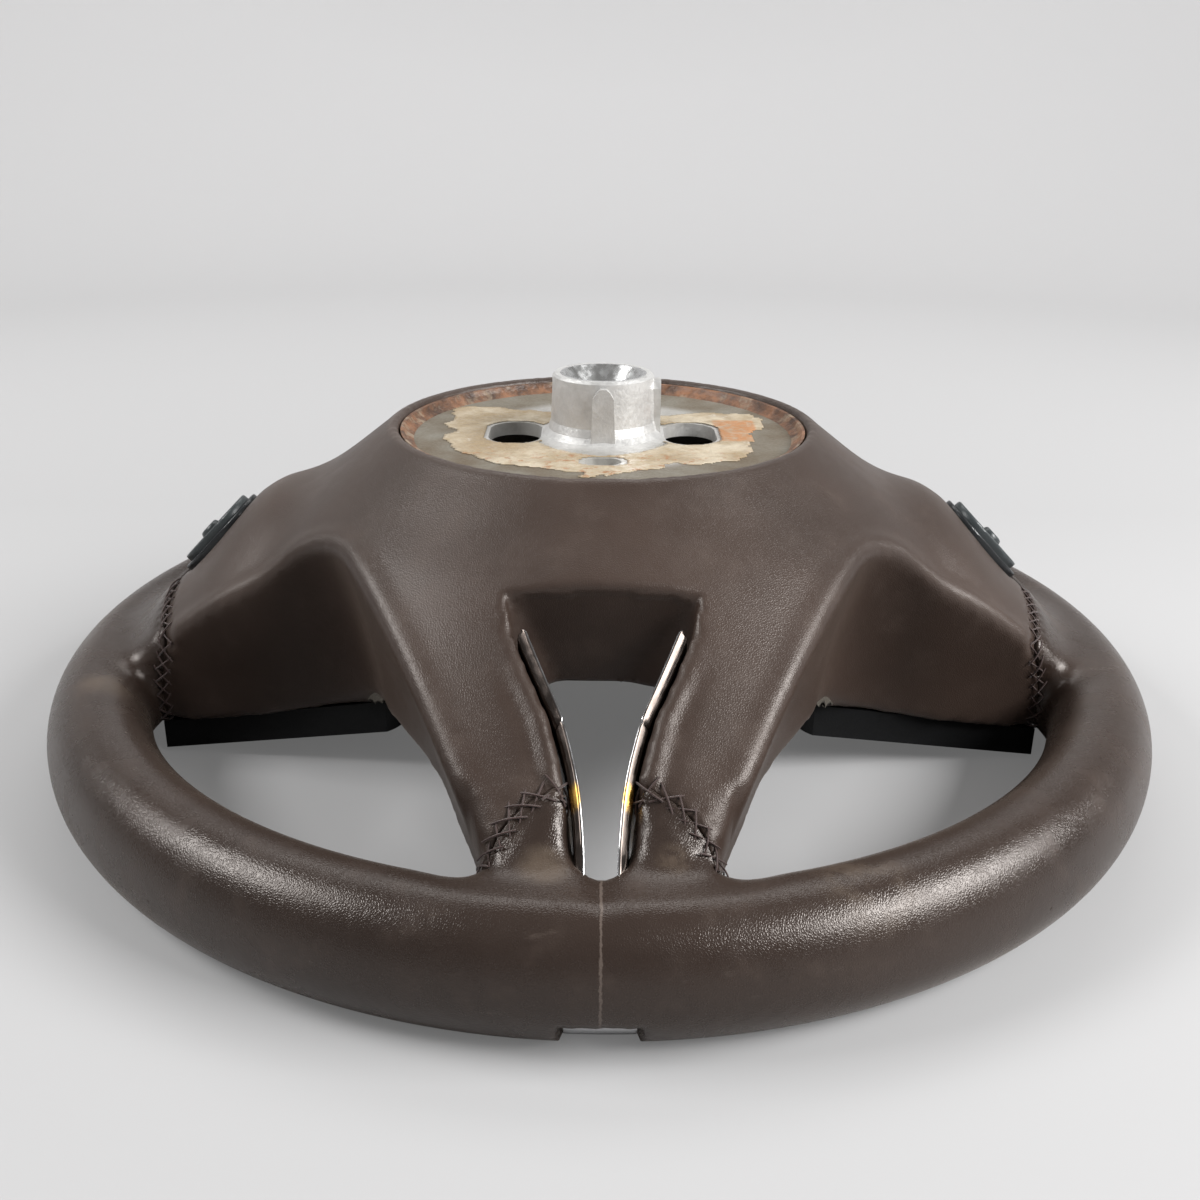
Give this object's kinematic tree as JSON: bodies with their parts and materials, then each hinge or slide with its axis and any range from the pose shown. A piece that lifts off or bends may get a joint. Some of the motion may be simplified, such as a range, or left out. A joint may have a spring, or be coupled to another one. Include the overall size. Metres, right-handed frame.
{
  "type": "car steering wheel",
  "caption": "Leather-covered steering wheel with swept side spokes, forked lower spokes round a keystone gap, splined boss, shift rockers and thumb controls, no airbag.",
  "frame": {"origin": "on the steering axis, in the plane of the rim's front, on which the part rests face down", "axes": "+Z along the steering axis towards the column, -Y to six o'clock (the keystone gap), +X to the right in the picture"},
  "size_m": [0.38, 0.38, 0.1287],
  "materials": {
    "cast_alloy": "die-cast, slightly dull",
    "plated_steel": "bright zinc plate",
    "adhesive": "old rust-brown adhesive",
    "foam": "moulded integral-skin foam",
    "spoke_leather": "smooth grain, satin, worn",
    "rim_leather": "smooth grain, satin, worn shiny",
    "polished_trim": "polished",
    "housing_plastic": "fine-textured matt",
    "key_plastic": "satin",
    "bezel_plastic": "matt",
    "rocker_plastic": "satin soft-touch",
    "dark_steel": "blackened"
  },
  "bodies": {
    "wheel": {"armature": "cast_alloy", "spline_bush": "plated_steel", "adhesive_ring": "adhesive", "hub_foam": "foam", "hub_leather": "spoke_leather", "rim_foam": "foam", "rim_leather": "rim_leather", "upper_trim_left": "polished_trim", "upper_trim_right": "polished_trim", "lower_trim": "polished_trim", "switch_panel_left": "housing_plastic", "switch_panel_right": "housing_plastic", "pad_pin_left": "plated_steel", "pad_pin_right": "plated_steel", "shift_bezel_left": "bezel_plastic", "shift_bezel_right": "bezel_plastic", "rocker_pin_left": "plated_steel", "rocker_pin_right": "plated_steel", "panel_screws": "dark_steel"},
    "left_rocker": {"shift_rocker_left": "rocker_plastic"},
    "right_rocker": {"shift_rocker_right": "rocker_plastic"},
    "left_pad": {"menu_pad": "key_plastic"},
    "right_pad": {"volume_pad": "key_plastic"},
    "left_upper_key": {"menu_key_upper": "key_plastic"},
    "left_lower_key": {"menu_key_lower": "key_plastic"},
    "right_upper_key": {"call_key_upper": "key_plastic"},
    "right_lower_key": {"call_key_lower": "key_plastic"}
  },
  "joints": [
    {"name": "left_rocker_tip", "type": "hinge", "parent": "wheel", "child": "left_rocker", "pos_m": [-0.1334, 0.003, 0.06703], "axis": [0, 1, 0], "range_deg": [-4, 4], "stiffness_Nm_per_rad": 0.6},
    {"name": "right_rocker_tip", "type": "hinge", "parent": "wheel", "child": "right_rocker", "pos_m": [0.1334, 0.003, 0.06703], "axis": [0, 1, 0], "range_deg": [-4, 4], "stiffness_Nm_per_rad": 0.6},
    {"name": "left_pad_tip", "type": "hinge", "parent": "wheel", "child": "left_pad", "pos_m": [-0.11782, -0.003, 0.01234], "axis": [0, 1, 0], "range_deg": [-3, 3], "stiffness_Nm_per_rad": 0.5},
    {"name": "right_pad_tip", "type": "hinge", "parent": "wheel", "child": "right_pad", "pos_m": [0.11782, -0.003, 0.01234], "axis": [0, 1, 0], "range_deg": [-3, 3], "stiffness_Nm_per_rad": 0.5},
    {"name": "left_upper_key_press", "type": "slide", "parent": "wheel", "child": "left_upper_key", "axis": [-0.158, 0, 0.9874], "range_m": [0, 0.0008], "stiffness_N_per_m": 1500},
    {"name": "left_lower_key_press", "type": "slide", "parent": "wheel", "child": "left_lower_key", "axis": [-0.158, 0, 0.9874], "range_m": [0, 0.0008], "stiffness_N_per_m": 1500},
    {"name": "right_upper_key_press", "type": "slide", "parent": "wheel", "child": "right_upper_key", "axis": [0.158, 0, 0.9874], "range_m": [0, 0.0008], "stiffness_N_per_m": 1500},
    {"name": "right_lower_key_press", "type": "slide", "parent": "wheel", "child": "right_lower_key", "axis": [0.158, 0, 0.9874], "range_m": [0, 0.0008], "stiffness_N_per_m": 1500}
  ]
}
